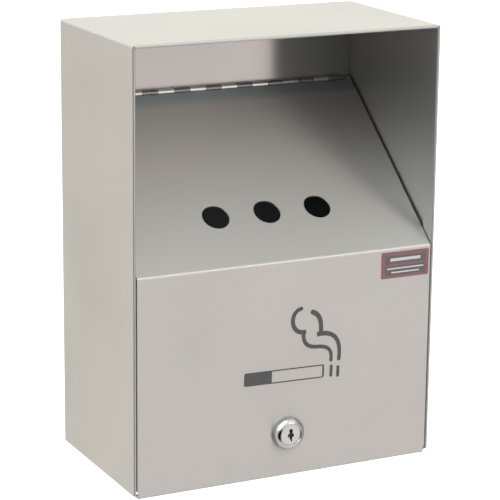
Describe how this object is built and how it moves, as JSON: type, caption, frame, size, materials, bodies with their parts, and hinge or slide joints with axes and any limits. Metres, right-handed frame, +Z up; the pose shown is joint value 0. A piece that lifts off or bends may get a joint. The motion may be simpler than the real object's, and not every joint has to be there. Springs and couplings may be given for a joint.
{
  "type": "ashtray bin",
  "caption": "Wall-mounted stainless ashtray bin: hooded housing, sloped top-hinged door with butt holes, cam lock and lift-out liner.",
  "frame": {"origin": "centre of the four wall holes, on the wall", "axes": "+X to the right as seen from the front, +Y into the wall, +Z up"},
  "size_m": [0.235, 0.1358, 0.3165],
  "materials": {
    "stainless_sheet": "brushed along the sheet's length, satin",
    "stainless_door": "brushed side to side, satin",
    "hinge_steel": "rolled strip, dull",
    "hinge_steel_bright": "rolled strip, bright",
    "printed_ink": "screen-printed ink",
    "label_vinyl": "plain vinyl",
    "lock_chrome": "polished chrome plate",
    "lock_face": "satin chrome plate",
    "zinc_plate": "bright zinc plate",
    "wafer_brass": "stamped brass",
    "galvanised_sheet": "galvanised, spangled",
    "rivet_aluminium": "plain blind rivet"
  },
  "bodies": {
    "housing": {"hood_wrap": "stainless_sheet", "back_panel": "stainless_sheet", "bottom_panel": "stainless_sheet", "strike_bracket": "stainless_sheet", "hinge_fixed_leaf": "hinge_steel", "hinge_pin": "hinge_steel"},
    "door": {"door_panel": "stainless_door", "hinge_moving_leaf": "hinge_steel_bright", "smoking_symbol": "printed_ink", "blank_label": "label_vinyl", "lock_housing": "lock_chrome", "lock_nut_washer": "zinc_plate", "lock_nut": "zinc_plate"},
    "lock_barrel": {"lock_plug": "lock_face", "lock_wafers": "wafer_brass", "wafer_springs": "zinc_plate", "cam_stop_washer": "zinc_plate", "lock_cam": "zinc_plate", "cam_spring_washer": "zinc_plate", "cam_screw": "zinc_plate"},
    "liner": {"liner_bin": "galvanised_sheet", "liner_handle": "zinc_plate", "liner_rivets": "rivet_aluminium"}
  },
  "joints": [
    {"name": "door_swing", "type": "hinge", "parent": "housing", "child": "door", "pos_m": [0, -0.0054, 0.11316], "axis": [-1, 0, 0], "range_deg": [0, 62]},
    {"name": "lock_turn", "type": "hinge", "parent": "door", "child": "lock_barrel", "pos_m": [0.0012, -0.1295, -0.1137], "axis": [0, 1, 0], "range_deg": [0, 90]},
    {"name": "liner_lift", "type": "slide", "parent": "housing", "child": "liner", "axis": [0, 0, 1], "range_m": [0, 0.014]}
  ]
}
